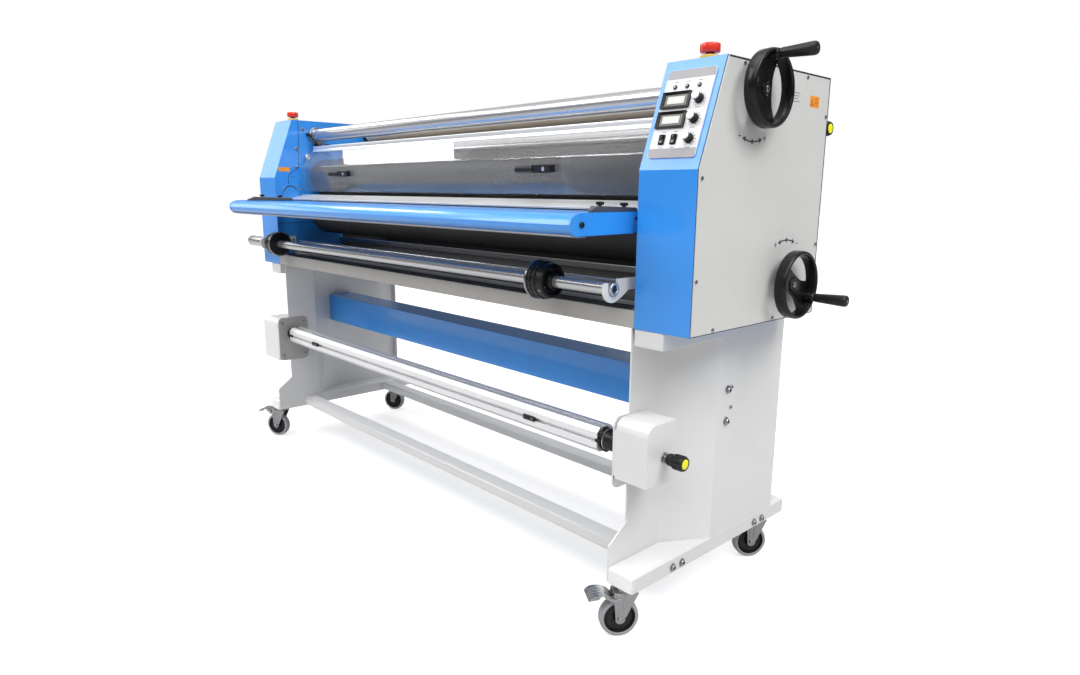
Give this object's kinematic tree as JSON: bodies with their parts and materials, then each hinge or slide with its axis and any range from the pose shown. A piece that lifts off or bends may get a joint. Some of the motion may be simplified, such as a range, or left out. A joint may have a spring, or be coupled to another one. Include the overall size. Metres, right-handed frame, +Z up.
{
  "type": "cold roll laminator",
  "caption": "Wide roll laminator on a wheeled stand, with two housings, pinch rollers, tilting feed table, clear guard, film shafts and handwheels.",
  "frame": {"origin": "centre of the bounding box's footprint, on the floor under the casters", "axes": "+X along the rollers towards the control panel and handwheels, -Y the feeding side, +Z up"},
  "size_m": [2.186, 0.778, 1.271],
  "materials": {
    "white_paint": "satin light grey powder coat",
    "blue_paint": "satin blue powder coat",
    "grey_paint": "satin warm grey paint",
    "steel": "brushed",
    "chrome": "polished",
    "aluminium": "satin anodised",
    "roller_rubber": "ground matte",
    "black_plastic": "satin moulded",
    "card_tube": "matte wound card",
    "clear_plastic": "clear gloss sheet",
    "red_plastic": "gloss moulded",
    "tyre_grey": "matte grey tyre",
    "zinc": "zinc plated"
  },
  "bodies": {
    "stand": {"side_frame_left": "white_paint", "side_frame_right": "white_paint", "stretcher_front": "white_paint", "stretcher_rear": "white_paint", "cross_panel": "blue_paint", "lower_tray": "grey_paint", "head_left": "blue_paint", "head_right": "blue_paint", "side_cover_left": "white_paint", "side_cover_right": "white_paint", "control_panel": "white_paint", "platen": "aluminium", "supply_bracket_left": "white_paint", "supply_bracket_right": "white_paint", "takeup_box_left": "white_paint", "takeup_box_right": "white_paint", "drive_motor": "grey_paint", "tie_bar": "steel", "power_inlet": "black_plastic"},
    "lift_carriage": {"lift_block_left": "steel", "lift_block_right": "steel"},
    "feed_table": {"feed_table": "blue_paint"},
    "edge_guide_left": {"edge_guide_left": "grey_paint"},
    "edge_guide_right": {"edge_guide_right": "grey_paint"},
    "shield": {"shield": "clear_plastic"},
    "latch_left": {"latch_left": "black_plastic"},
    "latch_right": {"latch_right": "black_plastic"},
    "top_roller": {"top_roller": "roller_rubber"},
    "bottom_roller": {"bottom_roller": "roller_rubber"},
    "upper_shaft": {"upper_shaft": "chrome"},
    "liner_core": {"liner_core": "card_tube"},
    "supply_shaft": {"supply_shaft": "chrome"},
    "supply_chuck_left": {"supply_chuck_left": "black_plastic"},
    "supply_chuck_right": {"supply_chuck_right": "black_plastic"},
    "idler_roller": {"idler_roller": "chrome"},
    "takeup_bar": {"takeup_bar": "aluminium"},
    "takeup_knob": {"takeup_knob": "black_plastic"},
    "rear_shaft": {"rear_shaft": "chrome"},
    "rear_knob": {"rear_knob": "black_plastic"},
    "upper_handwheel": {"upper_handwheel": "black_plastic"},
    "upper_grip": {"upper_grip": "black_plastic"},
    "lower_handwheel": {"lower_handwheel": "black_plastic"},
    "lower_grip": {"lower_grip": "black_plastic"},
    "estop_left": {"estop_left": "red_plastic"},
    "estop_right": {"estop_right": "red_plastic"},
    "panel_knob_1": {"panel_knob_1": "black_plastic"},
    "panel_knob_2": {"panel_knob_2": "black_plastic"},
    "panel_knob_3": {"panel_knob_3": "black_plastic"},
    "rocker_1": {"rocker_1": "black_plastic"},
    "rocker_2": {"rocker_2": "black_plastic"},
    "fork_front_left": {"fork_front_left": "zinc"},
    "wheel_front_left": {"wheel_front_left": "tyre_grey"},
    "fork_front_right": {"fork_front_right": "zinc"},
    "wheel_front_right": {"wheel_front_right": "tyre_grey"},
    "fork_rear_left": {"fork_rear_left": "zinc"},
    "wheel_rear_left": {"wheel_rear_left": "tyre_grey"},
    "fork_rear_right": {"fork_rear_right": "zinc"},
    "wheel_rear_right": {"wheel_rear_right": "tyre_grey"},
    "pedal_front_left": {"pedal_front_left": "zinc"},
    "pedal_front_right": {"pedal_front_right": "zinc"}
  },
  "joints": [
    {"name": "nip_lift", "type": "slide", "parent": "stand", "child": "lift_carriage", "axis": [0, 0, 1], "range_m": [0, 0.02]},
    {"name": "top_roller_spin", "type": "hinge", "parent": "lift_carriage", "child": "top_roller", "pos_m": [-0.063, -0.007, 1.0215], "axis": [1, 0, 0], "continuous": true},
    {"name": "bottom_roller_spin", "type": "hinge", "parent": "stand", "child": "bottom_roller", "pos_m": [-0.063, -0.007, 0.881], "axis": [1, 0, 0], "continuous": true},
    {"name": "upper_handwheel_turn", "type": "hinge", "parent": "stand", "child": "upper_handwheel", "pos_m": [0.997, -0.028, 1.18], "axis": [1, 0, 0], "range_deg": [0, 1440]},
    {"name": "upper_grip_spin", "type": "hinge", "parent": "upper_handwheel", "child": "upper_grip", "pos_m": [1.016, -0.028, 1.2445], "axis": [1, 0, 0], "continuous": true},
    {"name": "lower_handwheel_turn", "type": "hinge", "parent": "stand", "child": "lower_handwheel", "pos_m": [0.997, 0.141, 0.777], "axis": [1, 0, 0], "range_deg": [-1080, 1080]},
    {"name": "lower_grip_spin", "type": "hinge", "parent": "lower_handwheel", "child": "lower_grip", "pos_m": [1.016, 0.19686, 0.74475], "axis": [1, 0, 0], "continuous": true},
    {"name": "upper_shaft_spin", "type": "hinge", "parent": "stand", "child": "upper_shaft", "pos_m": [-0.063, -0.033, 1.183], "axis": [1, 0, 0], "continuous": true},
    {"name": "liner_core_spin", "type": "hinge", "parent": "stand", "child": "liner_core", "pos_m": [-0.063, 0.193, 1.193], "axis": [1, 0, 0], "continuous": true},
    {"name": "rear_shaft_spin", "type": "hinge", "parent": "stand", "child": "rear_shaft", "pos_m": [-0.063, 0.321, 1.128], "axis": [1, 0, 0], "continuous": true},
    {"name": "rear_knob_turn", "type": "hinge", "parent": "rear_shaft", "child": "rear_knob", "pos_m": [0.932, 0.321, 1.128], "axis": [1, 0, 0], "range_deg": [0, 720]},
    {"name": "supply_shaft_spin", "type": "hinge", "parent": "stand", "child": "supply_shaft", "pos_m": [-0.063, -0.25, 0.779], "axis": [1, 0, 0], "continuous": true},
    {"name": "supply_chuck_right_slide", "type": "slide", "parent": "supply_shaft", "child": "supply_chuck_right", "axis": [-1, 0, 0], "range_m": [-0.15, 0.4]},
    {"name": "supply_chuck_left_slide", "type": "slide", "parent": "supply_shaft", "child": "supply_chuck_left", "axis": [1, 0, 0], "range_m": [0, 0.4]},
    {"name": "idler_spin", "type": "hinge", "parent": "stand", "child": "idler_roller", "pos_m": [-0.063, -0.122, 0.774], "axis": [1, 0, 0], "continuous": true},
    {"name": "takeup_bar_spin", "type": "hinge", "parent": "stand", "child": "takeup_bar", "pos_m": [-0.063, -0.18, 0.42], "axis": [1, 0, 0], "continuous": true},
    {"name": "takeup_knob_turn", "type": "hinge", "parent": "stand", "child": "takeup_knob", "pos_m": [0.927, -0.18, 0.42], "axis": [1, 0, 0], "range_deg": [0, 720]},
    {"name": "feed_table_tilt", "type": "hinge", "parent": "stand", "child": "feed_table", "pos_m": [-0.063, -0.179, 0.915], "axis": [-1, 0, 0], "range_deg": [0, 60]},
    {"name": "edge_guide_right_slide", "type": "slide", "parent": "feed_table", "child": "edge_guide_right", "axis": [-1, 0, 0], "range_m": [0, 0.3]},
    {"name": "edge_guide_left_slide", "type": "slide", "parent": "feed_table", "child": "edge_guide_left", "axis": [1, 0, 0], "range_m": [0, 0.3]},
    {"name": "shield_swing", "type": "hinge", "parent": "stand", "child": "shield", "pos_m": [-0.063, -0.0455, 1.133], "axis": [-1, 0, 0], "range_deg": [0, 85]},
    {"name": "latch_right_turn", "type": "hinge", "parent": "shield", "child": "latch_right", "pos_m": [0.442, -0.10619, 1.03393], "axis": [0, 0.9898, 0.1422], "range_deg": [0, 90]},
    {"name": "latch_left_turn", "type": "hinge", "parent": "shield", "child": "latch_left", "pos_m": [-0.583, -0.10619, 1.03393], "axis": [0, 0.9898, 0.1422], "range_deg": [0, 90]},
    {"name": "estop_right_press", "type": "slide", "parent": "stand", "child": "estop_right", "axis": [0, 0, -1], "range_m": [0, 0.004], "stiffness_N_per_m": 600, "springref_m": -0.004},
    {"name": "estop_left_press", "type": "slide", "parent": "stand", "child": "estop_left", "axis": [0, 0, -1], "range_m": [0, 0.004], "stiffness_N_per_m": 600, "springref_m": -0.004},
    {"name": "panel_knob_1_turn", "type": "hinge", "parent": "stand", "child": "panel_knob_1", "pos_m": [0.9285, -0.16189, 1.1556], "axis": [0, -0.9396, 0.3423], "range_deg": [-150, 150]},
    {"name": "panel_knob_2_turn", "type": "hinge", "parent": "stand", "child": "panel_knob_2", "pos_m": [0.9285, -0.17586, 1.11726], "axis": [0, -0.9396, 0.3423], "range_deg": [-150, 150]},
    {"name": "panel_knob_3_turn", "type": "hinge", "parent": "stand", "child": "panel_knob_3", "pos_m": [0.9285, -0.18966, 1.0794], "axis": [0, -0.9396, 0.3423], "range_deg": [-45, 45]},
    {"name": "rocker_1_press", "type": "hinge", "parent": "stand", "child": "rocker_1", "pos_m": [0.863, -0.19122, 1.08008], "axis": [-1, 0, 0], "range_deg": [0, 16]},
    {"name": "rocker_2_press", "type": "hinge", "parent": "stand", "child": "rocker_2", "pos_m": [0.8915, -0.19122, 1.08008], "axis": [-1, 0, 0], "range_deg": [0, 16]},
    {"name": "caster_front_right_swivel", "type": "hinge", "parent": "stand", "child": "fork_front_right", "pos_m": [0.845, -0.227, 0.1147], "axis": [0, 0, 1], "continuous": true},
    {"name": "caster_front_right_roll", "type": "hinge", "parent": "fork_front_right", "child": "wheel_front_right", "pos_m": [0.8351, -0.24203, 0.045], "axis": [0.8351, -0.5501, 0], "continuous": true},
    {"name": "pedal_right_press", "type": "hinge", "parent": "fork_front_right", "child": "pedal_front_right", "pos_m": [0.83125, -0.24788, 0.092], "axis": [0.8351, -0.5501, 0], "range_deg": [0, 12]},
    {"name": "caster_rear_right_swivel", "type": "hinge", "parent": "stand", "child": "fork_rear_right", "pos_m": [0.845, 0.315, 0.1147], "axis": [0, 0, 1], "continuous": true},
    {"name": "caster_rear_right_roll", "type": "hinge", "parent": "fork_rear_right", "child": "wheel_rear_right", "pos_m": [0.8351, 0.29997, 0.045], "axis": [0.8351, -0.5501, 0], "continuous": true},
    {"name": "caster_front_left_swivel", "type": "hinge", "parent": "stand", "child": "fork_front_left", "pos_m": [-0.971, -0.227, 0.1147], "axis": [0, 0, 1], "continuous": true},
    {"name": "caster_front_left_roll", "type": "hinge", "parent": "fork_front_left", "child": "wheel_front_left", "pos_m": [-0.98627, -0.23652, 0.045], "axis": [0.5291, -0.8486, 0], "continuous": true},
    {"name": "pedal_left_press", "type": "hinge", "parent": "fork_front_left", "child": "pedal_front_left", "pos_m": [-0.99221, -0.24023, 0.092], "axis": [0.5291, -0.8486, 0], "range_deg": [0, 12]},
    {"name": "caster_rear_left_swivel", "type": "hinge", "parent": "stand", "child": "fork_rear_left", "pos_m": [-0.971, 0.315, 0.1147], "axis": [0, 0, 1], "continuous": true},
    {"name": "caster_rear_left_roll", "type": "hinge", "parent": "fork_rear_left", "child": "wheel_rear_left", "pos_m": [-0.98627, 0.30548, 0.045], "axis": [0.5291, -0.8486, 0], "continuous": true}
  ],
  "couplings": [
    {"joint": "upper_handwheel_turn", "follows": "nip_lift", "rad_per_m": 1256.6},
    {"joint": "top_roller_spin", "follows": "bottom_roller_spin", "ratio": -1}
  ]
}
